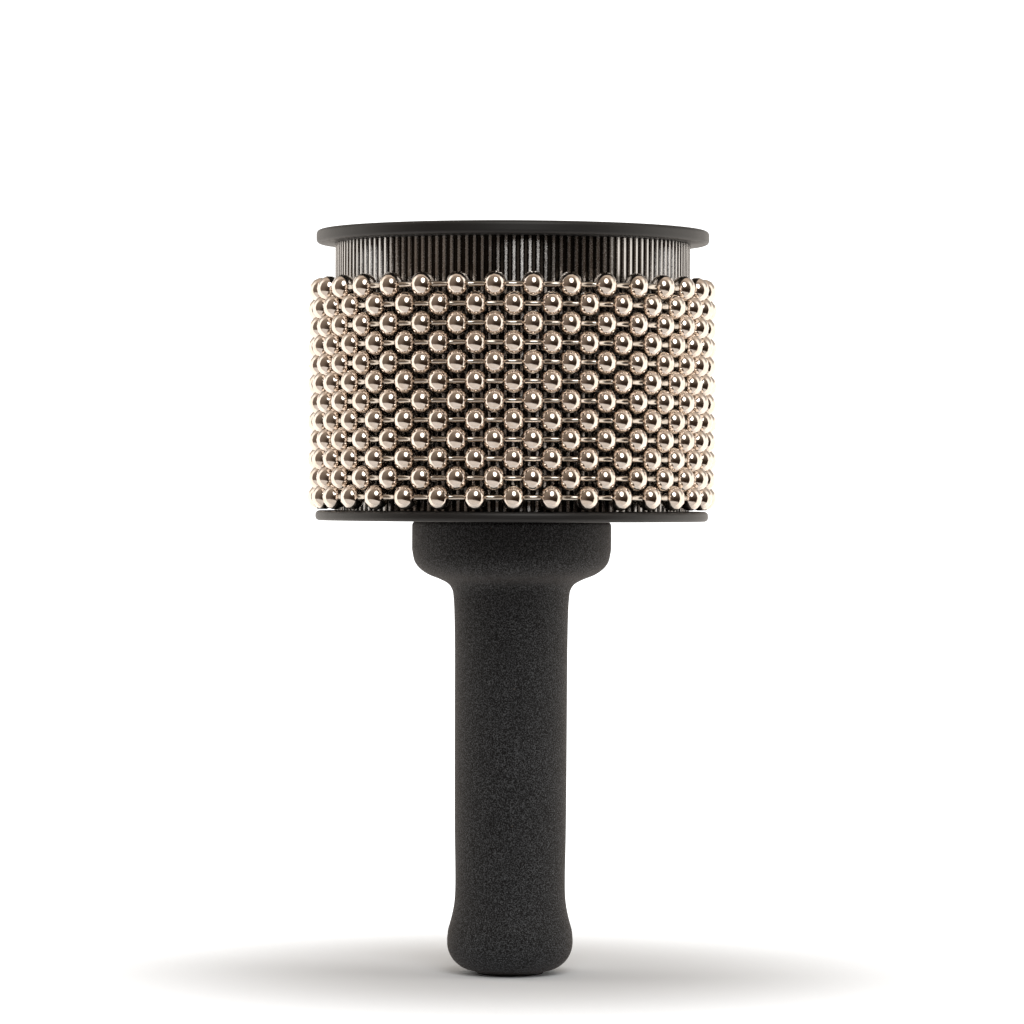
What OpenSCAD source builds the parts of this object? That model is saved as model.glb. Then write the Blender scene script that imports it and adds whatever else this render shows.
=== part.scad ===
// Cabasa: a fluted steel drum on a handle, wrapped in loops of steel bead chain.
// Millimetres, +Z up the handle to the head. The origin is in the middle of the straight grip.

/* [Foam grip] */
// Diameter of the straight part that the hand holds
grip_d = 33.2; // [30:0.1:37]
// Length of the straight part
grip_len = 86; // [60:1:120]
// Diameter of the neck just under the collar
neck_d = 34.2; // [33.5:0.1:38]
// Length of the taper from the straight part to the neck
neck_len = 2.9; // [2:0.1:6]
// Radius of the hollow corner between the neck and the collar
neck_fillet = 4.8; // [3:0.1:6]
// Diameter of the collar that swells out under the head
collar_d = 59.9; // [57:0.1:66]
// Height of the collar
collar_h = 17.3; // [15:0.1:24]
// Radius of the collar's upper edge
collar_edge = 1.5; // [0.5:0.1:2]
// Diameter of the bulb at the lower end
bulb_d = 37.7; // [36:0.1:42]
// Height of the bulb's widest ring above the foam's end
bulb_rise = 9; // [6:0.1:10]
// Length of the blend from the bulb to the straight part
bulb_blend = 15.1; // [10:0.1:25]

/* [Handle] */
// Outer diameter of the handle tube
tube_d = 20; // [18:0.1:22]
// Wall of the handle tube
tube_wall = 1.5; // [1:0.1:2.5]
// Diameter of the end plug's head
plug_head_d = 20.4; // [19:0.1:21]
// Thickness of the end plug's head
plug_head_t = 1.6; // [1.2:0.1:3]
// How far the end plug's head stands out of the foam
plug_proud = 0.9; // [0.2:0.1:1]
// Length of the end plug inside the tube
plug_depth = 14; // [8:0.5:25]
// Wall of the end plug
plug_wall = 2.4; // [1:0.1:3]
// Diameter of the socket disc that carries the head
socket_d = 51; // [50:0.5:53]
// Thickness of the socket disc
socket_t = 6; // [5:0.1:8]
// Diameter of the socket's boss round the tube
boss_d = 25; // [24:0.1:27]
// Length of the boss below the disc
boss_len = 22; // [15:0.5:30]
// Length of the threaded insert in the tube
insert_len = 20; // [12:0.5:30]
// Depth of the threaded insert below the end of the tube
insert_depth = 5; // [1:0.5:12]

/* [Drum] */
// Diameter over the crests of the fluted sleeve
drum_d = 106.6; // [104:0.1:110]
// Number of flutes round the sleeve
flutes = 144; // [96:4:180]
// Depth of a flute
flute_depth = 0.7; // [0.4:0.05:1]
// Thickness of the sleeve's sheet
sheet_t = 0.4; // [0.3:0.05:0.8]
// Width of the butt joint between the sheet's two ends
seam_w = 0.6; // [0.4:0.05:1.2]
// Wall of the drum core
core_wall = 3; // [2:0.1:4]
// Diameter of the core's four screw posts
post_d = 8; // [7:0.1:9]
// Diameter of both flanges
flange_d = 118; // [114:0.5:122]
// Thickness of the lower flange at its rim
lower_flange_t = 3; // [2.5:0.1:5]
// Thickness of the upper flange at its rim
upper_flange_t = 4; // [3.6:0.1:6]
// Radius of the flanges' edges
flange_edge = 1.2; // [0.5:0.1:1.2]
// Height of the step on each flange that fits inside the core
spigot_h = 2; // [1.5:0.1:4]
// Diameter of the blank top cap
cap_d = 29; // [26:0.5:34]
// Thickness of the top cap
cap_t = 1.6; // [1.2:0.1:2]

/* [Bead chain] */
// Diameter of a bead
bead_d = 7.6; // [7:0.1:8.2]
// Length of a bead along the chain
bead_len = 6.6; // [6:0.1:7]
// Wall of a hollow bead
bead_wall = 0.4; // [0.3:0.05:0.5]
// Gap between the ends of neighbouring beads
bead_gap = 4.35; // [3.8:0.05:5]
// Diameter of the hole in each end of a bead
bead_hole_d = 2.4; // [2.3:0.05:2.6]
// Diameter of a link's rod
link_d = 1.4; // [1.1:0.05:1.5]
// Diameter of the upset head on each end of a link
link_head_d = 2.9; // [2.7:0.05:3]
// How far a link's head sits from the middle of its bead
link_head_at = 1.7; // [1.6:0.05:1.8]
// Least gap between nested beads of neighbouring loops
nest_gap = 0.24; // [0.15:0.01:0.6]
// Gap between the beads and the crests of the sleeve
drum_gap = 0.5; // [0.3:0.05:1]
// Gap between the lowest loop and the lower flange
rest_gap = 0.3; // [0.2:0.05:0.6]
// Free length of the drum above the top loop
chain_play = 10.5; // [2:0.5:20]
// Turn of the loops about the drum, in degrees
chain_phase = -5.05; // [-10:0.05:10]

/* [Fasteners] */
// Thread diameter of the long tie bolt
bolt_d = 6; // [5:0.1:6.4]
// Length of the tie bolt under its head
bolt_len = 115; // [110:1:118]
// Width of the bolt head over its flats
bolt_head_af = 10; // [9:0.1:11]
// Height of the bolt head
bolt_head_h = 4; // [3:0.1:4]
// Diameter of the flat washer
washer_d = 18; // [15:0.5:19]
// Thickness of the flat washer
washer_t = 1.5; // [1:0.1:1.6]
// Outer diameter of the spring washer
lock_d = 11; // [10:0.1:12]
// Thickness of the spring washer
lock_t = 1.6; // [1.2:0.1:1.7]
// Shank diameter of the self-tapping screws
screw_d = 3.5; // [3:0.1:3.8]
// Head diameter of the self-tapping screws
screw_head_d = 6.8; // [6.4:0.1:7.4]
// Head height of the self-tapping screws
screw_head_h = 1.9; // [1.6:0.1:2.1]
// Length of the screws that hold the flanges
screw_len = 16; // [12:0.5:20]
// Length under the head of the screws that hold the socket
socket_screw_len = 10; // [8:0.5:10]
// Diameter of the ring that the socket screws stand on
socket_ring_d = 38; // [37:0.5:40]

/* [Hidden] */
// Clearance between pieces that nest in each other
fit = 0.1;
// Clearance round a bolt or a screw in a plain hole
hole_gap = 0.2;
// Clearance of a thread in its hole, drawn without its turns
thread_gap = 0.04;
// How far a cut runs past what it cuts
over = 0.5;
// Wall of the top cap's skirt, and its length
skirt_wall = 1.2;
skirt_len = 3;
// Gap from the washer out to the wall of the pocket it lies in
washer_gap = 2.4;
// How far the cap sinks below the upper flange's face
cap_sink = 0.2;
// Floor under the bolt's pocket
pocket_floor = 3;
// Wall round the bolt's pocket
pocket_wall = 3.5;
// Space between the bolt head and the cap
head_room = 0.6;
// Radius of the rounded edges on the plug's head and the socket's disc
small_edge = 0.6;
// Length and width of a screw's cross recess, and its depth
cross_len = 3.8;
cross_w = 0.9;
cross_depth = 1.2;
// Extra depth of a screw's hole past its tip
tip_room = 1;
// Split in the spring washer
lock_split = 1.2;
// Loops on the drum, each with its own two nodes
loops = 12;
// Screws in each flange, and screws in the socket
flange_screws = 4;
socket_screws_n = 3;
// Turn of the screw posts from the X axis
post_turn = 45;
// Points on a rounded corner, and on the bulb's blend
corner_steps = 8;
blend_steps = 16;
// Where a flute's crest and its valley begin and end, as shares of one flute
crest_share = 0.3;
slope_share = 0.2;
// Smoothness of round pieces, and of the beads and links
$fn = 96;
bead_fn = 32;

// Radii
grip_r = grip_d / 2;
neck_r = neck_d / 2;
collar_r = collar_d / 2;
bulb_r = bulb_d / 2;
tube_r = tube_d / 2;
tube_in_r = tube_r - tube_wall;
socket_r = socket_d / 2;
boss_r = boss_d / 2;
flange_r = flange_d / 2;
cap_r = cap_d / 2;
bolt_r = bolt_d / 2;
screw_r = screw_d / 2;
screw_head_r = screw_head_d / 2;
bead_r = bead_d / 2;
link_r = link_d / 2;
link_head_r = link_head_d / 2;

// The drum from the outside in
crest_r = drum_d / 2;
sleeve_in_r = crest_r - flute_depth - sheet_t;
core_r = sleeve_in_r - fit;
core_in_r = core_r - core_wall;
spigot_r = core_in_r - fit;
post_ring_r = core_in_r - post_d / 2 + fit * 3;

// The chain: beads to a loop, and the loops' nesting height
chain_r = crest_r + drum_gap + bead_r;
bead_pitch = bead_len + bead_gap;
beads = round(180 / asin(bead_pitch / 2 / chain_r));
bead_step = 360 / beads;
chord = 2 * chain_r * sin(bead_step / 2);
half_chord = 2 * chain_r * sin(bead_step / 4);
nested = bead_d + nest_gap;
over_link = bead_r + link_r + nest_gap;
loop_pitch = sqrt(max(nested * nested - half_chord * half_chord, over_link * over_link));
link_len = chord - 2 * link_head_at;

// Heights on the axis
grip_top = grip_len / 2;
grip_low = -grip_len / 2;
neck_top = grip_top + neck_len;
collar_low = neck_top + neck_fillet;
collar_top = collar_low + collar_h;
bulb_z = grip_low - bulb_blend;
foam_low = bulb_z - bulb_rise;
plug_low = foam_low - plug_proud;
plug_top = plug_low + plug_head_t;
socket_low = collar_top - socket_t;
boss_low = socket_low - boss_len;
tube_top = socket_low - 2 * fit;
insert_top = tube_top - insert_depth;
lower_face = collar_top + lower_flange_t;
loop_z = lower_face + rest_gap + bead_r;
drum_h = rest_gap + (loops - 1) * loop_pitch + bead_d + chain_play;
upper_face = lower_face + drum_h;
top_face = upper_face + upper_flange_t;
cap_low = top_face - cap_sink - cap_t;
pocket_low = cap_low - head_room - bolt_head_h - lock_t - washer_t;
lock_low = pocket_low + washer_t;
head_low = lock_low + lock_t;
pocket_r = washer_d / 2 + washer_gap;

// The collar's lower corner takes what the neck and its fillet leave
collar_corner = min(collar_r - neck_r - neck_fillet, collar_h - collar_edge);

foam_black = "#1c1b1a";
plastic_black = "#141414";
plate_nickel = "#c9c2b2";
sheet_steel = "#c4c5c3";
zinc_steel = "#a9abad";

// Points on a round corner, from one angle to another
function corner(x, z, r, from, to) =
    [for (i = [0:corner_steps])
        let (a = from + (to - from) * i / corner_steps) [x + r * cos(a), z + r * sin(a)]];

// A disc from low to high, with both of its outer edges rounded
module rounded_disc(r, low, high, edge) {
    rotate_extrude()
        polygon(concat([[0, low]],
            corner(r - edge, low + edge, edge, -90, 0),
            corner(r - edge, high - edge, edge, 0, 90),
            [[0, high]]));
}

// A round bar from low to high
module bar(r, low, high) {
    translate([0, 0, low]) cylinder(r = r, h = high - low);
}

module around(count, r, turn = 0) {
    for (i = [0:count - 1]) rotate([0, 0, turn + 360 * i / count]) translate([r, 0, 0]) children();
}

// Handle

// The moulded foam: a bulb, the straight grip, and a collar hollowed for the socket
module foam_grip() {
    color(foam_black) rotate_extrude() polygon(concat(
        [[plug_head_d / 2 + fit, foam_low]],
        corner(bulb_r - bulb_rise, bulb_z, bulb_rise, -90, 0),
        [for (i = [1:blend_steps])
            let (t = i / blend_steps)
            [grip_r + (bulb_r - grip_r) * (1 + cos(180 * t)) / 2, bulb_z + bulb_blend * t]],
        [[grip_r, grip_top]],
        corner(neck_r + neck_fillet, neck_top, neck_fillet, 180, 90),
        corner(collar_r - collar_corner, collar_low + collar_corner, collar_corner, -90, 0),
        corner(collar_r - collar_edge, collar_top - collar_edge, collar_edge, 0, 90),
        [[socket_r + fit, collar_top],
         [socket_r + fit, socket_low - fit],
         [boss_r + fit, socket_low - fit],
         [boss_r + fit, boss_low - fit],
         [tube_r + fit, boss_low - fit],
         [tube_r + fit, plug_top + fit],
         [plug_head_d / 2 + fit, plug_top + fit]]));
}

module handle_tube() {
    color(zinc_steel) difference() {
        bar(tube_r, plug_top, tube_top);
        bar(tube_in_r, plug_top - over, tube_top + over);
    }
}

// Closes the tube's lower end: a flat head, and a hollow stub inside the tube
module end_plug() {
    stub_r = tube_in_r - fit / 2;
    color(plastic_black) difference() {
        union() {
            rotate_extrude()
                polygon(concat([[0, plug_low]],
                    corner(plug_head_d / 2 - small_edge, plug_low + small_edge, small_edge, -90, 0),
                    [[plug_head_d / 2, plug_top], [0, plug_top]]));
            bar(stub_r, plug_top - small_edge, plug_top + plug_depth);
        }
        bar(stub_r - plug_wall, plug_top, plug_top + plug_depth + over);
    }
}

// The disc that the head is screwed to, with a boss that grips the tube
module handle_socket() {
    color(plastic_black) difference() {
        union() {
            rounded_disc(socket_r, socket_low, collar_top, small_edge);
            bar(boss_r, boss_low, socket_low + small_edge);
        }
        bar(tube_r + fit / 2, boss_low - over, socket_low);
        bar(bolt_r + hole_gap, socket_low - over, collar_top + over);
        around(socket_screws_n, socket_ring_d / 2) bar(screw_r + thread_gap,
            lower_face + spigot_h - socket_screw_len - tip_room / 2, collar_top + over);
    }
}

// The steel nut that is pressed into the tube and takes the tie bolt
module threaded_insert() {
    color(zinc_steel) difference() {
        bar(tube_in_r - fit / 2, insert_top - insert_len, insert_top);
        bar(bolt_r + thread_gap, insert_top - insert_len - over, insert_top + over);
    }
}

// Head

// A self-tapping screw with a countersunk head, its face at zero and its tip pointing down
module countersunk_screw() {
    difference() {
        union() {
            translate([0, 0, -screw_head_h])
                cylinder(r1 = screw_r, r2 = screw_head_r, h = screw_head_h);
            bar(screw_r, -screw_len, -screw_head_h);
        }
        cross_recess();
    }
}

// The same screw with a flat round head, its face at the head's height
module pan_screw() {
    difference() {
        union() {
            bar(screw_head_r, 0, screw_head_h);
            bar(screw_r, -socket_screw_len, 0);
        }
        translate([0, 0, screw_head_h]) cross_recess();
    }
}

module cross_recess() {
    for (turn = [0, 90]) rotate([0, 0, turn])
        translate([-cross_len / 2, -cross_w / 2, -cross_depth])
            cube([cross_len, cross_w, cross_depth + over]);
}

// Hole for a countersunk screw, seen from the face that its head lies in
module countersunk_hole(depth) {
    bar(screw_r + hole_gap, -depth - over, 0);
    translate([0, 0, -screw_head_h - fit])
        cylinder(r1 = screw_r + hole_gap, r2 = screw_head_r + hole_gap, h = screw_head_h + fit);
    bar(screw_head_r + hole_gap, -fit, over);
}

// Puts what is drawn face up at the height, or face down for a lower side
module facing(height, up) {
    translate([0, 0, height]) rotate([up ? 0 : 180, 0, 0]) children();
}

module lower_flange() {
    color(plastic_black) difference() {
        union() {
            rounded_disc(flange_r, collar_top, lower_face, flange_edge);
            bar(spigot_r, lower_face - flange_edge, lower_face + spigot_h);
        }
        bar(bolt_r + hole_gap, collar_top - over, lower_face + spigot_h + over);
        around(flange_screws, post_ring_r, post_turn)
            facing(collar_top, false) countersunk_hole(lower_flange_t + spigot_h);
        around(socket_screws_n, socket_ring_d / 2)
            bar(screw_r + hole_gap, collar_top - over, lower_face + spigot_h + over);
    }
}

module lower_flange_screws() {
    color(zinc_steel) around(flange_screws, post_ring_r, post_turn)
        facing(collar_top + fit, false) countersunk_screw();
}

module socket_screws() {
    color(zinc_steel) around(socket_screws_n, socket_ring_d / 2)
        facing(lower_face + spigot_h, true) pan_screw();
}

// The moulded barrel inside the sleeve, with four posts for the flange screws
module drum_core() {
    pilot = screw_len - spigot_h + tip_room;
    color(plastic_black) difference() {
        union() {
            difference() {
                bar(core_r, lower_face, upper_face);
                bar(core_in_r, lower_face - over, upper_face + over);
            }
            around(flange_screws, post_ring_r, post_turn)
                bar(post_d / 2, lower_face + spigot_h, upper_face - spigot_h);
        }
        around(flange_screws, post_ring_r, post_turn) {
            bar(screw_r + thread_gap, lower_face, lower_face + pilot);
            bar(screw_r + thread_gap, upper_face - pilot, upper_face);
        }
    }
}

// The corrugated sheet round the core, open at its butt joint behind
module fluted_sleeve() {
    half_seam = asin(seam_w / 2 / crest_r);
    flute = (360 - 2 * half_seam) / flutes;
    // each flute runs across its crest, down its slope, across its valley and up again
    spots = [for (i = [0:flutes - 1])
        each [[i, 0], [i + crest_share, 0],
              [i + crest_share + slope_share, flute_depth], [i + 1 - slope_share, flute_depth]]];
    outline = concat(spots, [[flutes, 0]]);
    function place(spot, inward) =
        let (a = 90 + half_seam + spot[0] * flute, r = crest_r - spot[1] - inward)
        [r * cos(a), r * sin(a)];
    last = len(outline) - 1;
    color(sheet_steel) translate([0, 0, lower_face + fit]) linear_extrude(drum_h - 2 * fit)
        polygon(concat(
            [for (spot = outline) place(spot, 0)],
            [for (i = [0:last]) place(outline[last - i], sheet_t)]));
}

module upper_flange() {
    color(plastic_black) difference() {
        union() {
            rounded_disc(flange_r, upper_face, top_face, flange_edge);
            bar(spigot_r, upper_face - spigot_h, upper_face + flange_edge);
            bar(pocket_r + pocket_wall, pocket_low - pocket_floor, upper_face);
        }
        bar(cap_r + fit, cap_low, top_face + over);
        bar(pocket_r, pocket_low, top_face);
        bar(bolt_r + hole_gap, pocket_low - pocket_floor - over, pocket_low + over);
        around(flange_screws, post_ring_r, post_turn)
            facing(top_face, true) countersunk_hole(upper_flange_t + spigot_h);
    }
}

module upper_flange_screws() {
    color(zinc_steel) around(flange_screws, post_ring_r, post_turn)
        facing(top_face - fit, true) countersunk_screw();
}

// The long bolt that draws the head down on to the handle
module tie_bolt() {
    color(zinc_steel) {
        bar(bolt_r, head_low - bolt_len, head_low + bolt_head_h / 2);
        translate([0, 0, head_low])
            cylinder(d = bolt_head_af / cos(30), h = bolt_head_h, $fn = 6);
    }
}

module flat_washer() {
    color(zinc_steel) difference() {
        bar(washer_d / 2, pocket_low, lock_low);
        bar(bolt_r + hole_gap, pocket_low - over, lock_low + over);
    }
}

module spring_washer() {
    color(zinc_steel) difference() {
        bar(lock_d / 2, lock_low, head_low);
        bar(bolt_r + hole_gap, lock_low - over, head_low + over);
        translate([0, -lock_split / 2, lock_low - over]) cube([lock_d, lock_split, lock_t + 2 * over]);
    }
}

// The blank cap over the bolt, with a skirt that holds it in the pocket
module top_cap() {
    skirt_r = pocket_r - fit;
    color(plastic_black) {
        rounded_disc(cap_r, cap_low, cap_low + cap_t, small_edge);
        difference() {
            bar(skirt_r, cap_low - skirt_len, cap_low + cap_t / 2);
            bar(skirt_r - skirt_wall, cap_low - skirt_len - over, cap_low);
        }
    }
}

// Chain

// Height of a loop, counted from one at the bottom
function loop_height(n) = loop_z + (n - 1) * loop_pitch;

// Neighbouring loops nest, each turned half a bead from the next
function loop_turn(n) = chain_phase + (n % 2) * bead_step / 2;

// Half of a bead's section: a round wall whose centre stands off the chain's line
module bead_section(wall) {
    bulge = bead_len / 2 - wall;
    offset_r = bead_r - bead_len / 2;
    intersection() {
        union() {
            translate([offset_r, 0]) circle(r = bulge, $fn = bead_fn);
            translate([0, -bulge]) square([offset_r, 2 * bulge]);
        }
        translate([0, -bulge]) square([bead_d, 2 * bulge]);
    }
}

// A hollow bead along X, open at both ends
module bead() {
    rotate([0, 90, 0]) rotate_extrude($fn = bead_fn) difference() {
        bead_section(0);
        bead_section(bead_wall);
        translate([0, -bead_len]) square([bead_hole_d / 2, 2 * bead_len]);
    }
}

// A link along X: a rod with an upset head on each end
module link() {
    rotate([0, 90, 0]) rotate_extrude($fn = bead_fn) intersection() {
        union() {
            translate([0, -link_len / 2]) square([link_r, link_len]);
            for (end = [-1, 1]) translate([0, end * link_len / 2]) circle(r = link_head_r, $fn = bead_fn);
        }
        translate([0, -link_len]) square([link_head_d, 2 * link_len]);
    }
}

module bead_loop(n) {
    color(plate_nickel) translate([0, 0, loop_height(n)])
        for (i = [0:beads - 1]) rotate([0, 0, loop_turn(n) + i * bead_step])
            translate([0, -chain_r, 0]) bead();
}

module link_loop(n) {
    color(plate_nickel) translate([0, 0, loop_height(n)])
        for (i = [0:beads - 1]) rotate([0, 0, loop_turn(n) + (i + 1 / 2) * bead_step])
            translate([0, -chain_r * cos(bead_step / 2), 0]) link();
}

foam_grip();
handle_tube();
end_plug();
handle_socket();
threaded_insert();
lower_flange();
socket_screws();
lower_flange_screws();
drum_core();
fluted_sleeve();
upper_flange();
upper_flange_screws();
tie_bolt();
flat_washer();
spring_washer();
top_cap();
bead_loop(1);  // bead_loop_01
bead_loop(2);  // bead_loop_02
bead_loop(3);  // bead_loop_03
bead_loop(4);  // bead_loop_04
bead_loop(5);  // bead_loop_05
bead_loop(6);  // bead_loop_06
bead_loop(7);  // bead_loop_07
bead_loop(8);  // bead_loop_08
bead_loop(9);  // bead_loop_09
bead_loop(10);  // bead_loop_10
bead_loop(11);  // bead_loop_11
bead_loop(12);  // bead_loop_12
link_loop(1);  // link_loop_01
link_loop(2);  // link_loop_02
link_loop(3);  // link_loop_03
link_loop(4);  // link_loop_04
link_loop(5);  // link_loop_05
link_loop(6);  // link_loop_06
link_loop(7);  // link_loop_07
link_loop(8);  // link_loop_08
link_loop(9);  // link_loop_09
link_loop(10);  // link_loop_10
link_loop(11);  // link_loop_11
link_loop(12);  // link_loop_12
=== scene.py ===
# %% [markdown]
# # A cabasa, dressed over its CAD frame
#
# A cabasa is a hand percussion instrument. Loops of steel bead chain lie round a fluted steel drum,
# and scrape over it when the player turns the handle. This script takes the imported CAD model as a
# fixed frame, replaces the soft grip and the bead chain with finer pieces, and gives every surface
# its finish. Lengths are metres in the CAD's own frame: the origin is in the middle of the grip,
# and +Z runs up the handle to the head.

import math

import bpy
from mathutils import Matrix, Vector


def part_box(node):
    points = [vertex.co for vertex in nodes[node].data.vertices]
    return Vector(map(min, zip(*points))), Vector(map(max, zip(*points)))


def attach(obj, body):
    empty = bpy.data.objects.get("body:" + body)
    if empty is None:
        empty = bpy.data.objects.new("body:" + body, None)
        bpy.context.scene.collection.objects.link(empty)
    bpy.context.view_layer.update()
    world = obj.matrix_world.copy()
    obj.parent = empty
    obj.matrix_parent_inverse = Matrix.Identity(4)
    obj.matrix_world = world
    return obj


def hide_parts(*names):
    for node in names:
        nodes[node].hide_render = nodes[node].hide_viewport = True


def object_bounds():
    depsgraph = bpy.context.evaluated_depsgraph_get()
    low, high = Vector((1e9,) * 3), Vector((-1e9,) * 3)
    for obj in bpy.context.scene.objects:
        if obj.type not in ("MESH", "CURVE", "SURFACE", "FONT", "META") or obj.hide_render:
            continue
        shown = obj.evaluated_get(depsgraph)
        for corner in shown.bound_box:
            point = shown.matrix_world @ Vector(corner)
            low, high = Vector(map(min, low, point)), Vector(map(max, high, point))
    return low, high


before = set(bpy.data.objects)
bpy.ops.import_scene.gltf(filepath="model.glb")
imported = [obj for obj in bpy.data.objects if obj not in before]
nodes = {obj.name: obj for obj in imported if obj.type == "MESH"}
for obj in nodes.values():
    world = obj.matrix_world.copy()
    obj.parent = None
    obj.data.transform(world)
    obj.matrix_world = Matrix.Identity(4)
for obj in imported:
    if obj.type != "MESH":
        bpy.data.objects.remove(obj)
cad_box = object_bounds()
MM = 0.001

print("CAD box, mm:", [[round(c / MM, 1) for c in corner] for corner in cad_box])

# %% [markdown]
# ## Selecting and shading
#
# An operator acts on all that is selected, and loading the frame leaves the CAD nodes selected. So
# every piece starts with an empty selection. A finished piece is shaded smooth by angle, so that
# its curves look round while its real edges stay sharp.

# %% Selecting and shading
def clear_selection():
    """Object mode with nothing selected, because an operator acts on all that is selected."""
    if bpy.context.mode != "OBJECT":
        bpy.ops.object.mode_set(mode="OBJECT")
    bpy.ops.object.select_all(action="DESELECT")


def shade_by_angle(piece, degrees):
    """Smooth shading that stays sharp where two faces meet at more than this angle."""
    clear_selection()
    piece.select_set(True)
    bpy.context.view_layer.objects.active = piece
    bpy.ops.object.shade_smooth_by_angle(angle=math.radians(degrees))


print("selected after loading:", len(bpy.context.selected_objects))
clear_selection()
print("selected now:", len(bpy.context.selected_objects))

# %% [markdown]
# ## Turned pieces
#
# The grip, the beads and the links are all round about an axis, so one helper turns them the way
# a maker would on a lathe. It starts with a circle at the first station of the outline, and then
# extrudes it along the other stations, lifting and resizing it each time. A solid piece starts from
# a filled circle, and its last ring is filled too. A bored piece starts from an open ring: its
# outline comes back to where it started, and the two rings are merged there. Spin would do the same
# from a drawn line, but it leaves its seam to be found and merged along the whole outline.

# %% The turning helper
def turn_piece(name, outline, sides, bored):
    """A solid of revolution about Z. outline is a list of (radius, height) in mm, which comes
    back to its first station where the piece is bored."""
    clear_selection()
    radius, height = outline[0]
    bpy.ops.mesh.primitive_circle_add(
        vertices=sides, radius=radius * MM, fill_type="NOTHING" if bored else "NGON",
        location=(0, 0, 0))
    piece = bpy.context.active_object
    piece.name = piece.data.name = name
    bpy.ops.object.mode_set(mode="EDIT")
    bpy.ops.mesh.select_all(action="SELECT")
    bpy.ops.transform.translate(value=(0, 0, height * MM))
    for next_radius, next_height in outline[1:]:
        bpy.ops.mesh.extrude_region_move(
            TRANSFORM_OT_translate={"value": (0, 0, (next_height - height) * MM)})
        share = next_radius / radius
        if abs(share - 1) > 1e-9:
            bpy.ops.transform.resize(
                value=(share, share, 1), center_override=(0, 0, next_height * MM))
        radius, height = next_radius, next_height
    bpy.ops.mesh.select_all(action="SELECT")
    bpy.ops.mesh.remove_doubles(threshold=0.001 * MM)
    bpy.ops.mesh.normals_make_consistent(inside=False)
    bpy.ops.object.mode_set(mode="OBJECT")
    return piece


def arc(centre_radius, centre_height, radius, start, end, steps):
    """Stations on a round corner, from one angle to another, in degrees."""
    angles = [math.radians(start + (end - start) * i / steps) for i in range(steps + 1)]
    return [(centre_radius + radius * math.cos(a), centre_height + radius * math.sin(a))
            for a in angles]


print("a quarter round of 1 mm:", [(round(r, 2), round(z, 2)) for r, z in arc(0, 0, 1, 0, 90, 3)])

# %% [markdown]
# ## The foam grip
#
# The real grip is one moulding of soft closed-cell foam, pushed over the handle tube: a bulb
# that stops the hand at the lower end, a straight barrel whose radius grows by half a millimetre
# towards the head, and a wide collar that cushions the hand under the drum. Its outline was
# measured on the photograph, a few stations at a time. A smooth curve through the stations gives
# the soft transitions that a chain of straight cones would lose.

# %% Foam grip: outline
def smooth_line(stations, steps):
    """A smooth curve that passes through every station, with so many steps between each two."""
    line = []
    for i in range(len(stations) - 1):
        before = stations[max(i - 1, 0)]
        start, end = stations[i], stations[i + 1]
        after = stations[min(i + 2, len(stations) - 1)]
        for k in range(steps):
            t = k / steps
            line.append(tuple(
                0.5 * (2 * s + (e - b) * t + (2 * b - 5 * s + 4 * e - a) * t ** 2
                       + (3 * s - b - 3 * e + a) * t ** 3)
                for b, s, e, a in zip(before, start, end, after)))
    return line + [stations[-1]]


foam_low, foam_high = (corner.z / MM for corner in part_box("foam_grip"))
# radius and height in mm, from the bulb up to the collar
SIDE_STATIONS = [
    (18.9, -57.9), (18.6, -54.9), (17.65, -51.3), (16.9, -47.6), (16.55, -43.6),
    (16.52, -37.0), (16.72, -25.0), (16.82, -7.0), (16.88, 11.0), (16.93, 29.0),
    (17.12, 40.0), (17.4, 45.0), (17.8, 47.3), (19.0, 49.05), (21.4, 50.4),
    (24.9, 51.8), (27.55, 53.6), (29.2, 55.9), (29.95, 59.4)]
# the round under the bulb, and the round on the collar's upper edge
END_AT, END_R = (10.4, -58.6), 8.5
COLLAR_R, RIM = SIDE_STATIONS[-1][0], 1.5
# the bores round the tube, its plug, the socket's disc and its boss, and the heights of their seats
TUBE_BORE, PLUG_BORE = 10.1, 10.3
SOCKET_BORE, BOSS_BORE = 25.6, 12.6
SOCKET_SEAT, BOSS_SEAT, PLUG_SEAT = 61.9, 39.9, -66.3

foam_outline = (
    arc(*END_AT, END_R, -86, -4, 12)
    + smooth_line(SIDE_STATIONS, 4)
    + arc(COLLAR_R - RIM, foam_high - RIM, RIM, 0, 90, 5)
    + [(SOCKET_BORE, foam_high), (SOCKET_BORE, SOCKET_SEAT), (BOSS_BORE, SOCKET_SEAT),
       (BOSS_BORE, BOSS_SEAT), (TUBE_BORE, BOSS_SEAT), (TUBE_BORE, PLUG_SEAT),
       (PLUG_BORE, PLUG_SEAT), (PLUG_BORE, foam_low)])
foam_outline.append(foam_outline[0])
print("stations on the grip's outline:", len(foam_outline))

# %% [markdown]
# ## Turning the grip
#
# The grip could be a curve with a Screw modifier, or a cylinder pushed into shape ring by ring. It
# is turned here from its closed outline, so that the bore, the pocket for the handle socket and
# the outside come out in one pass, as one closed solid. It stands for the soft solid of the CAD
# model.

# %% Foam grip: the piece
FOAM_SIDES = 128
foam = turn_piece("grip_foam", foam_outline, FOAM_SIDES, bored=True)
shade_by_angle(foam, 50)
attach(foam, "handle_and_drum")
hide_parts("foam_grip")
print("grip faces:", len(foam.data.polygons))

# %% [markdown]
# ## The bead chain
#
# Each loop is a ball chain: hollow beads rolled from thin sheet, held together by dumbbell links
# whose rods show between them. There are hundreds of beads, so one bead has only a few dozen
# faces, and smooth shading makes it round. The rod hides most of the hole that it comes out of, so
# each end of a bead is a small flat face. The rods are 1.8 mm thick, as the photograph shows them,
# where the CAD model has 1.4 mm. One bead is turned and laid along the chain, and then it is
# duplicated and turned about the drum's axis until the loop closes.

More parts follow.
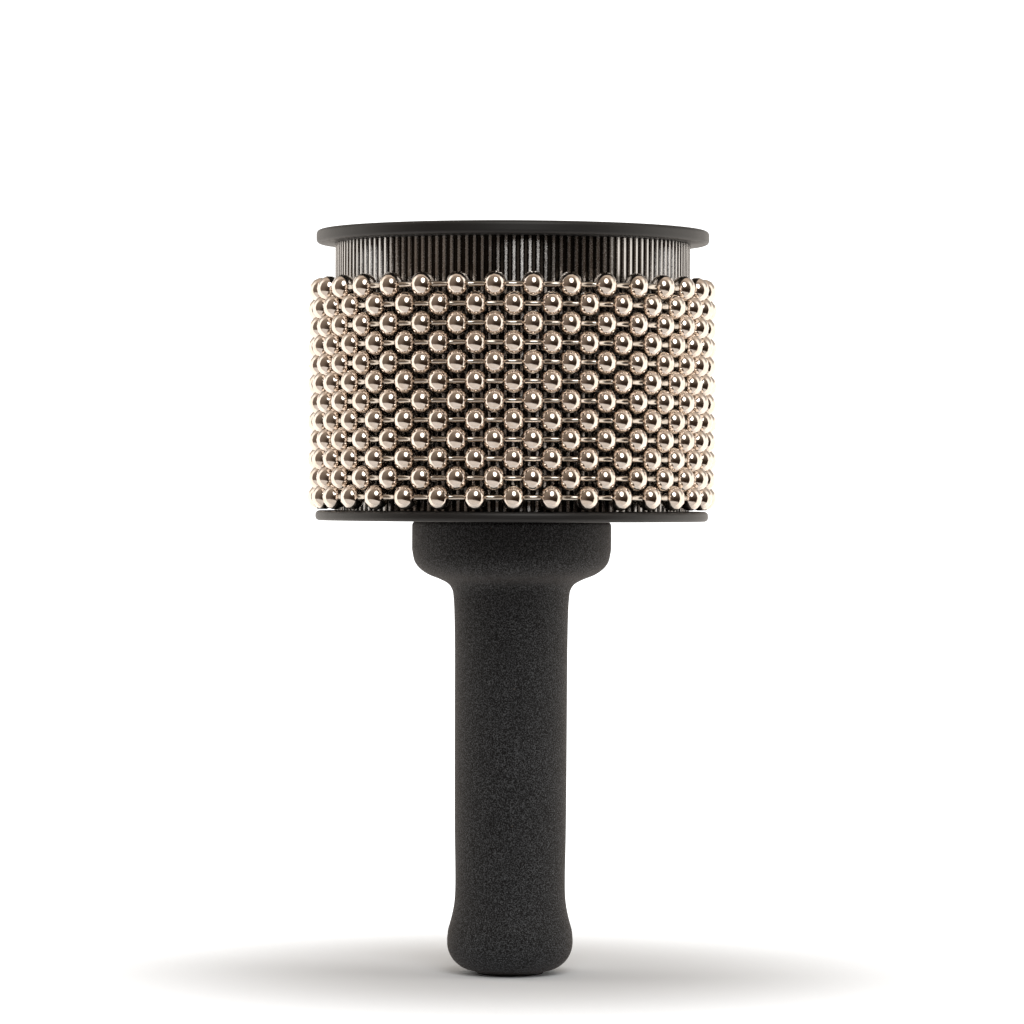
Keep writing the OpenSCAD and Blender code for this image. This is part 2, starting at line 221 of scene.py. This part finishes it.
# %% Bead chain: where the loops lie
LOOPS, BEADS = 12, 33
STEP = 2 * math.pi / BEADS
# in mm: a bead at its widest, the arc that bulges its side, and its hole
BEAD_R, BULGE_R, HOLE_R = 3.8, 3.3, 1.2
# in mm: a link's rod, its two heads, and how far from the middle of a bead each head sits
LINK_R, LINK_HEAD_R, LINK_HEAD_AT = 0.9, 1.45, 1.7
# the circle on which the beads' middles lie, and the turn of the even loops, from the photograph
CHAIN_R, PHASE = 57.6 * MM, math.radians(-5.05)
bead_box = [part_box(f"bead_loop_{n:02d}") for n in range(1, LOOPS + 1)]
loop_height = [(low.z + high.z) / 2 for low, high in bead_box]
loop_turn = [PHASE + (n % 2) * STEP / 2 for n in range(1, LOOPS + 1)]
print("loop heights, mm:", [round(h / MM, 2) for h in loop_height])

# %% [markdown]
# ## One bead and one link
#
# A sphere is the obvious start for a bead, but a bead isn't a ball: it is 7.6 mm across and only
# about 6.5 mm long. So its outline is an arc whose middle lies off the axis, and it ends in two
# flats as wide as the hole. A link is a rod with a round head at each end, and the heads stay
# inside the beads. The three helpers below lay a turned piece along the chain, turn it about the
# drum, and repeat it round the loop.

# %% Bead chain: laying and repeating
def lay_along_chain(piece, radius, height, angle):
    """Turns a piece from Z to lie along the chain, and puts it at its place on the loop."""
    clear_selection()
    piece.select_set(True)
    bpy.context.view_layer.objects.active = piece
    bpy.ops.object.mode_set(mode="EDIT")
    bpy.ops.mesh.select_all(action="SELECT")
    bpy.ops.transform.rotate(value=math.pi / 2, orient_axis="Y", center_override=(0, 0, 0))
    bpy.ops.transform.translate(value=(0, -radius, height))
    turn_about_drum(angle)
    bpy.ops.object.mode_set(mode="OBJECT")


def turn_about_drum(angle):
    """Turns what is selected about the drum's axis. With no window the operator turns the
    other way, so the angle is given its opposite sign."""
    bpy.ops.transform.rotate(value=-angle, orient_axis="Z", center_override=(0, 0, 0))


def repeat_round_loop(piece):
    """Duplicates the one solid of a piece round the drum until the loop is full."""
    clear_selection()
    piece.select_set(True)
    bpy.context.view_layer.objects.active = piece
    bpy.ops.object.mode_set(mode="EDIT")
    bpy.ops.mesh.select_all(action="SELECT")
    for _ in range(BEADS - 1):
        bpy.ops.mesh.duplicate()
        turn_about_drum(STEP)
    bpy.ops.object.mode_set(mode="OBJECT")


print("beads in a loop:", BEADS, "one every", round(math.degrees(STEP), 2), "degrees")

# %% Bead chain: outlines of a bead and a link
BEAD_SIDES, BEAD_STEPS = 14, 6
LINK_SIDES, HEAD_STEPS = 8, 4
# the angle at which the bulging side of a bead reaches its hole
hole_edge = math.degrees(math.acos((HOLE_R - (BEAD_R - BULGE_R)) / BULGE_R))
bead_outline = arc(BEAD_R - BULGE_R, 0, BULGE_R, -hole_edge, hole_edge, BEAD_STEPS)

# half the distance between a link's two heads: they sit in neighbouring beads
half_link = CHAIN_R / MM * math.sin(STEP / 2) - LINK_HEAD_AT
# a head runs from where it leaves the rod to a small flat near its pole, in degrees
rod_edge, HEAD_FLAT = math.degrees(math.acos(LINK_R / LINK_HEAD_R)), 72
head = arc(0, half_link, LINK_HEAD_R, -rod_edge, HEAD_FLAT, HEAD_STEPS)
link_outline = [(r, -z) for r, z in reversed(head)] + head
print("stations on a bead and on a link:", len(bead_outline), len(link_outline))

# %% [markdown]
# ## Twelve loops
#
# The first loop is built whole, and the others are copies of it, each with its own mesh, raised to
# its height in the CAD model. Every second loop is turned by half a bead, so that neighbouring
# loops nest. An Array modifier could stack them too, but then they would be one piece, and each
# loop rides on a CAD body of its own, because the player spins and shuffles them on the drum.

# %% Bead chain: copying a loop
def copy_loop(piece, name, rise, turn):
    """A copy of a loop with its own mesh, higher up the drum and turned."""
    clear_selection()
    piece.select_set(True)
    bpy.context.view_layer.objects.active = piece
    bpy.ops.object.duplicate()
    copy = bpy.context.active_object
    copy.name = copy.data.name = name
    bpy.ops.object.mode_set(mode="EDIT")
    bpy.ops.mesh.select_all(action="SELECT")
    bpy.ops.transform.translate(value=(0, 0, rise))
    turn_about_drum(turn)
    bpy.ops.object.mode_set(mode="OBJECT")
    return copy


print("turns of the loops, degrees:", [round(math.degrees(turn), 2) for turn in loop_turn])

# %% Bead chain: all the loops
bead_loops, link_loops = [], []
for loops, kind, outline, sides, radius, turn in (
        (bead_loops, "bead", bead_outline, BEAD_SIDES, CHAIN_R, loop_turn[0]),
        (link_loops, "link", link_outline, LINK_SIDES, CHAIN_R * math.cos(STEP / 2),
         loop_turn[0] + STEP / 2)):
    first = turn_piece(f"{kind}s_01", outline, sides, bored=False)
    lay_along_chain(first, radius, loop_height[0], turn)
    repeat_round_loop(first)
    shade_by_angle(first, 60)
    loops.append(first)
    for n in range(1, LOOPS):
        loops.append(copy_loop(first, f"{kind}s_{n + 1:02d}",
                               loop_height[n] - loop_height[0], loop_turn[n] - loop_turn[0]))
    for n, piece in enumerate(loops):
        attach(piece, f"loop_{n + 1:02d}")
        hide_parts(f"{kind}_loop_{n + 1:02d}")
    print(kind, "faces in a loop:", len(first.data.polygons))

# %% [markdown]
# ## Colours and nodes
#
# Colours are written as the hex values that one would pick on a screen, and one function turns them
# to the linear values that the renderer works in. One more function adds a node with its settings
# and its links, so that each finish below reads as a short recipe.

# %% Colours
def linear(code):
    """A #rrggbb screen colour as linear red, green, blue and alpha."""
    parts = [int(code[i:i + 2], 16) / 255 for i in (1, 3, 5)]
    return [c / 12.92 if c <= 0.04045 else ((c + 0.055) / 1.055) ** 2.4 for c in parts] + [1.0]


print("#808080 in linear light:", [round(c, 3) for c in linear("#808080")])

# %% Nodes
def add(tree, kind, inputs=None, **settings):
    """Adds a node. Each input is a value, or a socket that is linked to it."""
    new = tree.nodes.new(kind)
    for name, value in settings.items():
        setattr(new, name, value)
    for name, value in (inputs or {}).items():
        if isinstance(value, bpy.types.NodeSocket):
            tree.links.new(value, new.inputs[name])
        else:
            new.inputs[name].default_value = value
    return new


def per(size_mm):
    """The scale that gives a pattern features of this real size."""
    return 1 / (size_mm * MM)


def new_finish(name):
    """An empty material, with its node tree and the object coordinates."""
    material = bpy.data.materials.new(name)
    material.use_nodes = True
    tree = material.node_tree
    tree.nodes.clear()
    place = add(tree, "ShaderNodeTexCoord").outputs["Object"]
    return material, tree, place


def end_finish(tree, shader):
    """Joins the last shader to the output."""
    add(tree, "ShaderNodeOutputMaterial", {"Surface": shader.outputs[0]})


def dress(piece, material):
    """Gives a piece or a CAD node this one material."""
    piece.data.materials.clear()
    piece.data.materials.append(material)


def describe(material):
    """Prints how large a material's tree is."""
    print(material.name, "has", len(material.node_tree.nodes), "nodes")


print("scale of a pattern with features of 1 mm:", round(per(1)))

# %% [markdown]
# ## Foam finish
#
# The grip is closed-cell rubber foam with its moulded skin. It swallows nearly all light, so its
# middle reads almost black. The cut-open cells of the skin, about 0.4 mm wide, give it a fine
# salt-and-pepper grain, and the fuzz of their edges catches a warm grey light where the
# surface turns away. That is what sheen is for. A plain dark grey would look like hard plastic, so
# one noise, as fine as the cells, sets both the colour and the bump. A few crumbs of pale dust
# cling to the skin.

# %% Foam finish
def moulded_foam():
    material, tree, place = new_finish("closed_cell_nbr_foam")
    cells = add(tree, "ShaderNodeTexNoise", {
        "Vector": place, "Scale": per(0.36), "Detail": 1.0, "Roughness": 0.6})
    clouds = add(tree, "ShaderNodeTexNoise", {
        "Vector": place, "Scale": per(14), "Detail": 2.0, "Roughness": 0.5})
    crumbs = add(tree, "ShaderNodeTexNoise", {
        "Vector": place, "Scale": per(1.1), "Detail": 0.0})
    grain = add(tree, "ShaderNodeMapRange", {
        "Value": cells.outputs["Fac"], "From Min": 0.44, "From Max": 0.7})
    body = add(tree, "ShaderNodeMix", {
        0: grain.outputs[0], 6: linear("#060708"), 7: linear("#5e6165")}, data_type="RGBA")
    cloud_share = add(tree, "ShaderNodeMapRange", {
        "Value": clouds.outputs["Fac"], "From Min": 0.3, "From Max": 0.7, "To Max": 0.25})
    shaded = add(tree, "ShaderNodeMix", {
        0: cloud_share.outputs[0], 6: body.outputs[2], 7: linear("#1c1e20")}, data_type="RGBA")
    dust_share = add(tree, "ShaderNodeMapRange", {
        "Value": crumbs.outputs["Fac"], "From Min": 0.85, "From Max": 0.89, "To Max": 0.35})
    dusted = add(tree, "ShaderNodeMix", {
        0: dust_share.outputs[0], 6: shaded.outputs[2], 7: linear("#7c746b")}, data_type="RGBA")
    pores = add(tree, "ShaderNodeBump", {
        "Strength": 1.0, "Distance": 0.16 * MM, "Height": cells.outputs["Fac"]})
    end_finish(tree, add(tree, "ShaderNodeBsdfPrincipled", {
        "Base Color": dusted.outputs[2], "Roughness": 0.78, "IOR": 1.45,
        "Specular IOR Level": 0.35, "Sheen Weight": 0.15, "Sheen Roughness": 0.45,
        "Sheen Tint": linear("#b8a599"), "Normal": pores.outputs[0]}))
    return material


foam_finish = moulded_foam()
dress(foam, foam_finish)
describe(foam_finish)

# %% [markdown]
# ## Nickel plate
#
# Beads and links are steel with bright nickel plate. Nickel is warmer than chrome, so its
# reflections lean to cream where they are bright and to brown where they are dark. Bright and dark
# bands could be painted on each bead, but they would stay the same from every side, so the metal
# mirrors the studio and the other beads. The beads are barrel polished after forming. What is left
# is a faint unevenness, which bends the reflections a little, and a haze of fine rubbing marks
# that is stronger in patches.

# %% Nickel finish
def bright_plate(name, tint, rubbed_tint, smooth, rubbed, ripple_mm):
    material, tree, place = new_finish(name)
    patches = add(tree, "ShaderNodeTexNoise", {
        "Vector": place, "Scale": per(2.6), "Detail": 3.0, "Roughness": 0.6})
    ripples = add(tree, "ShaderNodeTexNoise", {
        "Vector": place, "Scale": per(1.7), "Detail": 1.0})
    share = add(tree, "ShaderNodeMapRange", {
        "Value": patches.outputs["Fac"], "From Min": 0.42, "From Max": 0.72})
    colour = add(tree, "ShaderNodeMix", {
        0: share.outputs[0], 6: linear(tint), 7: linear(rubbed_tint)}, data_type="RGBA")
    haze = add(tree, "ShaderNodeMapRange", {
        "Value": share.outputs[0], "To Min": smooth, "To Max": rubbed})
    bent = add(tree, "ShaderNodeBump", {
        "Strength": 1.0, "Distance": ripple_mm * MM, "Height": ripples.outputs["Fac"]})
    end_finish(tree, add(tree, "ShaderNodeBsdfPrincipled", {
        "Base Color": colour.outputs[2], "Metallic": 1.0, "Roughness": haze.outputs[0],
        "Normal": bent.outputs[0]}))
    return material


bead_finish = bright_plate(
    "barrel_polished_nickel_plate", tint="#eae0d7", rubbed_tint="#ddd0c3",
    smooth=0.08, rubbed=0.16, ripple_mm=0.03)
link_finish = bright_plate(
    "drawn_nickel_plated_wire", tint="#cfc7bd", rubbed_tint="#b5aca1",
    smooth=0.14, rubbed=0.26, ripple_mm=0.02)
for piece in bead_loops:
    dress(piece, bead_finish)
for piece in link_loops:
    dress(piece, link_finish)
describe(bead_finish)
describe(link_finish)

# %% [markdown]
# ## Fluted steel sheet
#
# The sleeve under the chain is bright steel strip, rolled between fluted rollers and wrapped round
# the core. Rolling leaves fine lines that run round the drum. They are too fine to draw, so the
# shader's anisotropy stands for them, and stretches every highlight upright, across the lines. The
# valleys are painted dark, as painted shade for the shade that falls in them, while the crests keep
# the bright tint. So the sleeve reads as thin upright stripes, bright beside dark. Fine scuffs blur
# the stripes a little, and stains dull the sheet in places.

# %% Sheet finish
crest_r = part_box("fluted_sleeve")[1].x
# how far under the crests the painted shade of the valleys begins, and where it is full
VALLEY_SHADE_FROM, VALLEY_SHADE_FULL = 0.15 * MM, 0.6 * MM


def rolled_sheet():
    material, tree, place = new_finish("bright_rolled_steel_strip")
    scuffs = add(tree, "ShaderNodeTexNoise", {
        "Vector": place, "Scale": per(0.9), "Detail": 3.0, "Roughness": 0.65})
    stains = add(tree, "ShaderNodeTexNoise", {
        "Vector": place, "Scale": per(7), "Detail": 3.0})
    flat = add(tree, "ShaderNodeVectorMath", {
        0: place, 1: (1.0, 1.0, 0.0)}, operation="MULTIPLY")
    from_axis = add(tree, "ShaderNodeVectorMath", {0: flat.outputs[0]}, operation="LENGTH")
    # painted shade: none on the crests, full deep in the valleys
    painted_valley_shade = add(tree, "ShaderNodeMapRange", {
        "Value": from_axis.outputs["Value"],
        "From Min": crest_r - VALLEY_SHADE_FROM, "From Max": crest_r - VALLEY_SHADE_FULL})
    tint = add(tree, "ShaderNodeMix", {
        0: stains.outputs["Fac"], 6: linear("#d0d0d0"), 7: linear("#a8a7a6")}, data_type="RGBA")
    # the valleys are painted near black, as painted shade, not as dirt
    valley_shaded_tint = add(tree, "ShaderNodeMix", {
        0: painted_valley_shade.outputs[0], 6: tint.outputs[2], 7: linear("#2e2a26")}, data_type="RGBA")
    haze = add(tree, "ShaderNodeMapRange", {
        "Value": scuffs.outputs["Fac"], "From Min": 0.35, "From Max": 0.7,
        "To Min": 0.2, "To Max": 0.3})
    marks = add(tree, "ShaderNodeBump", {
        "Strength": 1.0, "Distance": 0.004 * MM, "Height": scuffs.outputs["Fac"]})
    end_finish(tree, add(tree, "ShaderNodeBsdfPrincipled", {
        "Base Color": valley_shaded_tint.outputs[2], "Metallic": 1.0, "Roughness": haze.outputs[0],
        "Anisotropic": 0.9, "Anisotropic Rotation": 0.25, "Normal": marks.outputs[0]}))
    return material


sheet_finish = rolled_sheet()
dress(nodes["fluted_sleeve"], sheet_finish)
describe(sheet_finish)

# %% [markdown]
# ## Moulded plastic
#
# The flanges, the cap, the plug and the hidden socket and core are injection moulded. The mould of
# a flange is spark eroded, which leaves a fine matt grain. The real grain is about 0.1 mm wide, too
# fine to show in the render, so it is drawn at 0.45 mm. The cap and the plug come from a plainer
# mould and are a little smoother, with their faint unevenness drawn as coarse. The socket and the
# core have glass fibres in the plastic, which leave it paler and duller. All of them have cloudy
# streaks where the plastic flowed, and they differ only in such values, so one recipe makes them.

# %% Plastic finishes
def moulded_plastic(name, dark, pale, grain_mm, grain_depth_mm, smooth, matt):
    material, tree, place = new_finish(name)
    grain = add(tree, "ShaderNodeTexNoise", {
        "Vector": place, "Scale": per(grain_mm), "Detail": 2.0, "Roughness": 0.6})
    flow = add(tree, "ShaderNodeTexNoise", {
        "Vector": place, "Scale": per(16), "Detail": 3.0, "Distortion": 0.6})
    colour = add(tree, "ShaderNodeMix", {
        0: flow.outputs["Fac"], 6: linear(dark), 7: linear(pale)}, data_type="RGBA")
    haze = add(tree, "ShaderNodeMapRange", {
        "Value": flow.outputs["Fac"], "From Min": 0.3, "From Max": 0.7,
        "To Min": smooth, "To Max": matt})
    sparks = add(tree, "ShaderNodeBump", {
        "Strength": 1.0, "Distance": grain_depth_mm * MM, "Height": grain.outputs["Fac"]})
    end_finish(tree, add(tree, "ShaderNodeBsdfPrincipled", {
        "Base Color": colour.outputs[2], "Roughness": haze.outputs[0], "IOR": 1.53,
        "Normal": sparks.outputs[0]}))
    return material


flange_finish = moulded_plastic(
    "spark_textured_black_abs", dark="#0b0b0c", pale="#111112",
    grain_mm=0.45, grain_depth_mm=0.035, smooth=0.46, matt=0.52)
cap_finish = moulded_plastic(
    "satin_black_abs", dark="#101011", pale="#161617",
    grain_mm=0.6, grain_depth_mm=0.012, smooth=0.34, matt=0.4)
plug_finish = moulded_plastic(
    "black_polyethylene", dark="#0b0b0b", pale="#141313",
    grain_mm=0.8, grain_depth_mm=0.015, smooth=0.38, matt=0.5)
core_finish = moulded_plastic(
    "glass_filled_black_nylon", dark="#151515", pale="#222120",
    grain_mm=0.5, grain_depth_mm=0.02, smooth=0.5, matt=0.62)
for name in ("lower_flange", "upper_flange"):
    dress(nodes[name], flange_finish)
dress(nodes["top_cap"], cap_finish)
dress(nodes["end_plug"], plug_finish)
for name in ("handle_socket", "drum_core"):
    dress(nodes[name], core_finish)
for finish in (flange_finish, cap_finish, plug_finish, core_finish):
    describe(finish)

# %% [markdown]
# ## Zinc plate and drawn tube
#
# The screws, washers, bolt and insert are zinc plated and passivated, which gives a bluish grey
# with faint straw-coloured clouds. The handle tube is drawn through a die and left bright, so it
# has fine lines along its length. They are hair fine on a real tube, and are drawn 0.5 mm wide so
# that they show where the tube does. These pieces are small or hidden in most views, so each finish
# has only one noise, which sets its colour and its roughness together.

# %% Zinc and tube finishes
def zinc_plate():
    material, tree, place = new_finish("passivated_zinc_plate")
    clouds = add(tree, "ShaderNodeTexNoise", {
        "Vector": place, "Scale": per(2.2), "Detail": 3.0})
    share = add(tree, "ShaderNodeMapRange", {
        "Value": clouds.outputs["Fac"], "From Min": 0.35, "From Max": 0.7})
    tint = add(tree, "ShaderNodeMix", {
        0: share.outputs[0], 6: linear("#b6bbc2"), 7: linear("#b3ab94")}, data_type="RGBA")
    haze = add(tree, "ShaderNodeMapRange", {
        "Value": clouds.outputs["Fac"], "To Min": 0.2, "To Max": 0.45})
    end_finish(tree, add(tree, "ShaderNodeBsdfPrincipled", {
        "Base Color": tint.outputs[2], "Metallic": 1.0, "Roughness": haze.outputs[0]}))
    return material


# the lines on the tube are about thirty times as long as they are wide
ALONG_TUBE = 0.03


def drawn_tube():
    material, tree, place = new_finish("bright_drawn_steel_tube")
    stretched = add(tree, "ShaderNodeMapping", {"Vector": place, "Scale": (1.0, 1.0, ALONG_TUBE)})
    lines = add(tree, "ShaderNodeTexNoise", {
        "Vector": stretched.outputs[0], "Scale": per(0.5), "Detail": 3.0})
    tint = add(tree, "ShaderNodeMix", {
        0: lines.outputs["Fac"], 6: linear("#9fa1a2"), 7: linear("#bcbdbd")}, data_type="RGBA")
    haze = add(tree, "ShaderNodeMapRange", {
        "Value": lines.outputs["Fac"], "To Min": 0.25, "To Max": 0.5})
    end_finish(tree, add(tree, "ShaderNodeBsdfPrincipled", {
        "Base Color": tint.outputs[2], "Metallic": 1.0, "Roughness": haze.outputs[0]}))
    return material


zinc = zinc_plate()
for name in ("threaded_insert", "socket_screws", "lower_flange_screws", "upper_flange_screws",
             "tie_bolt", "flat_washer", "spring_washer"):
    dress(nodes[name], zinc)
tube_finish = drawn_tube()
dress(nodes["handle_tube"], tube_finish)
describe(zinc)
describe(tube_finish)

# %% [markdown]
# ## The studio
#
# The photograph is a product shot on a white sweep, and each bead is a small mirror that shows the
# whole studio. The lower part of a bead is the white table, whose front edge makes a nearly
# level line a little under the middle. Over it lies the dim room behind the camera, dark brown,
# and paler to the left and higher up. White walls stand at both sides, and the ceiling is
# grey-brown. Behind the object the white paper ends a little over the horizon, and the studio is
# dim over that, so that the metal keeps its contrast when it is looked at from the back. What the
# camera itself sees of the world is plain white, as the burnt-out background is. Walls and a table
# could be modelled round the object, but they would stand in the way of the other views, so the
# world paints them by direction. Its numbers are shares of a direction: 1 is straight along it.

# %% World: directions
scene = bpy.context.scene
scene.view_settings.view_transform = "Standard"
world = bpy.data.worlds.new("white_sweep")
scene.world = world
world.use_nodes = True
sky = world.node_tree
sky.nodes.clear()
# the studio stands a little turned against the camera, and the table's edge is higher to the left
STUDIO_TURN, TABLE_TILT = math.radians(9), 0.15
direction = add(sky, "ShaderNodeTexCoord").outputs["Generated"]
shares = add(sky, "ShaderNodeSeparateXYZ", {0: direction})
right, up = shares.outputs["X"], shares.outputs["Z"]
turned = add(sky, "ShaderNodeVectorRotate", {
    0: direction, "Angle": STUDIO_TURN}, rotation_type="Z_AXIS")
away = add(sky, "ShaderNodeSeparateXYZ", {0: turned.outputs[0]}).outputs["Y"]
tilted_up = add(sky, "ShaderNodeMath", {
    0: right, 1: TABLE_TILT, 2: up}, operation="MULTIPLY_ADD").outputs[0]
print("the studio is turned by", round(math.degrees(STUDIO_TURN)), "degrees")

# %% World: the zones of the studio
# for each zone the direction that it follows, the share of it at which the zone begins, the share
# at which it is full, and how strong it is there
studio_zones = {
    "camera_side": (away, -0.17, -0.25, 1.0),
    "over_table": (tilted_up, -0.47, -0.41, 1.0),
    "room_to_left": (right, 0.1, -1.0, 1.0),
    "room_to_top": (up, -0.2, 1.0, 1.0),
    "behind_sweep": (away, 0.1, 0.5, 0.8),
    "over_sweep": (up, 0.2, 0.4, 1.0),
    "ceiling": (up, 0.6, 0.9, 0.9)}
zone = {}
for name, (share, begins, full, strength) in studio_zones.items():
    zone[name] = add(sky, "ShaderNodeMapRange", {
        "Value": share, "From Min": begins, "From Max": full, "To Max": strength},
        interpolation_type="SMOOTHSTEP").outputs[0]
print("zones of the studio:", ", ".join(zone))

# %% World: the paint
# how bright the walls and the sweep are, and the camera's side with its table and its room
WALL_STRENGTH, CAMERA_SIDE_STRENGTH = 1.58, 1.0
room_share = add(sky, "ShaderNodeMath", {
    0: zone["camera_side"], 1: zone["over_table"]}, operation="MULTIPLY")
behind_share = add(sky, "ShaderNodeMath", {
    0: zone["behind_sweep"], 1: zone["over_sweep"]}, operation="MULTIPLY")
low_room = add(sky, "ShaderNodeMix", {
    0: zone["room_to_left"], 6: linear("#33271f"), 7: linear("#786a5f")}, data_type="RGBA")
room = add(sky, "ShaderNodeMix", {
    0: zone["room_to_top"], 6: low_room.outputs[2], 7: linear("#94877a")}, data_type="RGBA")
sweep = add(sky, "ShaderNodeMix", {
    0: zone["camera_side"], 6: linear("#fff7ee"), 7: linear("#ebe3dc")}, data_type="RGBA")
walls = add(sky, "ShaderNodeMix", {
    0: room_share.outputs[0], 6: sweep.outputs[2], 7: room.outputs[2]}, data_type="RGBA")
behind = add(sky, "ShaderNodeMix", {
    0: behind_share.outputs[0], 6: walls.outputs[2], 7: linear("#5d5750")}, data_type="RGBA")
around = add(sky, "ShaderNodeMix", {
    0: zone["ceiling"], 6: behind.outputs[2], 7: linear("#a19284")}, data_type="RGBA")
seen = add(sky, "ShaderNodeMix", {
    0: add(sky, "ShaderNodeLightPath").outputs["Is Camera Ray"],
    6: around.outputs[2], 7: linear("#ffffff")}, data_type="RGBA")
brightness = add(sky, "ShaderNodeMapRange", {
    "Value": zone["camera_side"], "To Min": WALL_STRENGTH, "To Max": CAMERA_SIDE_STRENGTH})
painted = add(sky, "ShaderNodeBackground", {
    "Color": seen.outputs[2], "Strength": brightness.outputs[0]})
add(sky, "ShaderNodeOutputWorld", {"Surface": painted.outputs[0]})
print("nodes in the world:", len(sky.nodes))

# %% [markdown]
# ## The soft light
#
# The bright spot in every bead is an oval softbox over the camera, a little to its right. It could
# be one more bright patch in the world, but an area lamp of that shape gives the spot and lights
# the foam with less noise, because the renderer knows where to look for it.

# %% Soft light
HEAD_MIDDLE = (0, 0, 0.1)


def soft_light(name, shape, size, energy, colour, azimuth, elevation, distance):
    """An area lamp aimed at the head. Azimuth runs from the camera's side to the right."""
    a, e = math.radians(azimuth), math.radians(elevation)
    lamp = bpy.data.lights.new(name, "AREA")
    lamp.shape = shape
    lamp.size, lamp.size_y = size
    lamp.energy = energy
    lamp.color = linear(colour)[:3]
    holder = bpy.data.objects.new(name, lamp)
    scene.collection.objects.link(holder)
    back = (math.sin(a) * math.cos(e), -math.cos(a) * math.cos(e), math.sin(e))
    holder.location = [m + distance * b for m, b in zip(HEAD_MIDDLE, back)]
    holder.rotation_euler = (math.pi / 2 - e, 0, a)
    print(name, "hangs at, m:", [round(c, 2) for c in holder.location])


soft_light("key_oval", "ELLIPSE", size=(0.64, 0.8), energy=4.8, colour="#fffdfa",
           azimuth=8, elevation=34, distance=1.1)

# %% [markdown]
# ## The floor
#
# The photograph's ground is burnt out to plain white, so the floor only has to carry the shadow
# where the object stands. It is a disc that turns transparent well before its edge, which hides
# the edge from every side. The light of the studio is a little warm, so the paint is a slightly
# cool white, and the floor then looks neutral.

# %% Floor
FLOOR_Z, FLOOR_GAP, FLOOR_R = cad_box[0].z, 0.05 * MM, 1.2
FADE_FROM, FADE_TO = 0.03, 0.22
clear_selection()
bpy.ops.mesh.primitive_circle_add(
    vertices=64, radius=FLOOR_R, fill_type="NGON", location=(0, 0, 0))
floor = bpy.context.active_object
floor.name = floor.data.name = "floor"
bpy.ops.object.mode_set(mode="EDIT")
bpy.ops.mesh.select_all(action="SELECT")
bpy.ops.transform.translate(value=(0, 0, FLOOR_Z - FLOOR_GAP))
bpy.ops.object.mode_set(mode="OBJECT")

paint, tree, place = new_finish("white_sweep_paint")
flat = add(tree, "ShaderNodeVectorMath", {
    0: place, 1: (1.0, 1.0, 0.0)}, operation="MULTIPLY")
distance = add(tree, "ShaderNodeVectorMath", {0: flat.outputs[0]}, operation="LENGTH")
fade = add(tree, "ShaderNodeMapRange", {
    "Value": distance.outputs["Value"], "From Min": FADE_FROM, "From Max": FADE_TO},
    interpolation_type="SMOOTHSTEP")
matt = add(tree, "ShaderNodeBsdfDiffuse", {"Color": linear("#eef5fc")})
clear = add(tree, "ShaderNodeBsdfTransparent")
end_finish(tree, add(tree, "ShaderNodeMixShader", {
    0: fade.outputs[0], 1: matt.outputs[0], 2: clear.outputs[0]}))
dress(floor, paint)
describe(paint)
print("floor at, mm:", round((FLOOR_Z - FLOOR_GAP) / MM, 2))

# %% [markdown]
# ## The camera
#
# The outline of the grip, set against its real size, gave the scale of the photograph, and the
# thin slice of the lower end that shows gave the camera's height: a long lens, 1.38 m away, level
# with the lower part of the head. One pixel of the 1024 is then 0.30 mm at the handle's axis. The
# photograph leans by a quarter of a degree, and so does the camera.

# %% Camera
# in metres, and the roll that follows the photograph's lean
DISTANCE, EYE_HEIGHT, ASIDE = 1.38, 77.3 * MM, 0.05 * MM
ROLL = math.radians(-0.25)
# in pixels of the picture
PIXELS, FOCAL_PIXELS, HORIZON_ROW = 1024, 4590, 490
lens = bpy.data.cameras.new("photo_camera")
lens.sensor_width = 36
lens.lens = FOCAL_PIXELS / PIXELS * lens.sensor_width
camera = bpy.data.objects.new("photo_camera", lens)
scene.collection.objects.link(camera)
camera.location = (ASIDE, -DISTANCE, EYE_HEIGHT)
dip = math.atan((PIXELS / 2 - HORIZON_ROW) / FOCAL_PIXELS)
camera.rotation_euler = (math.pi / 2 - dip, ROLL, 0)
scene.camera = camera
print("lens, mm:", round(lens.lens, 1))
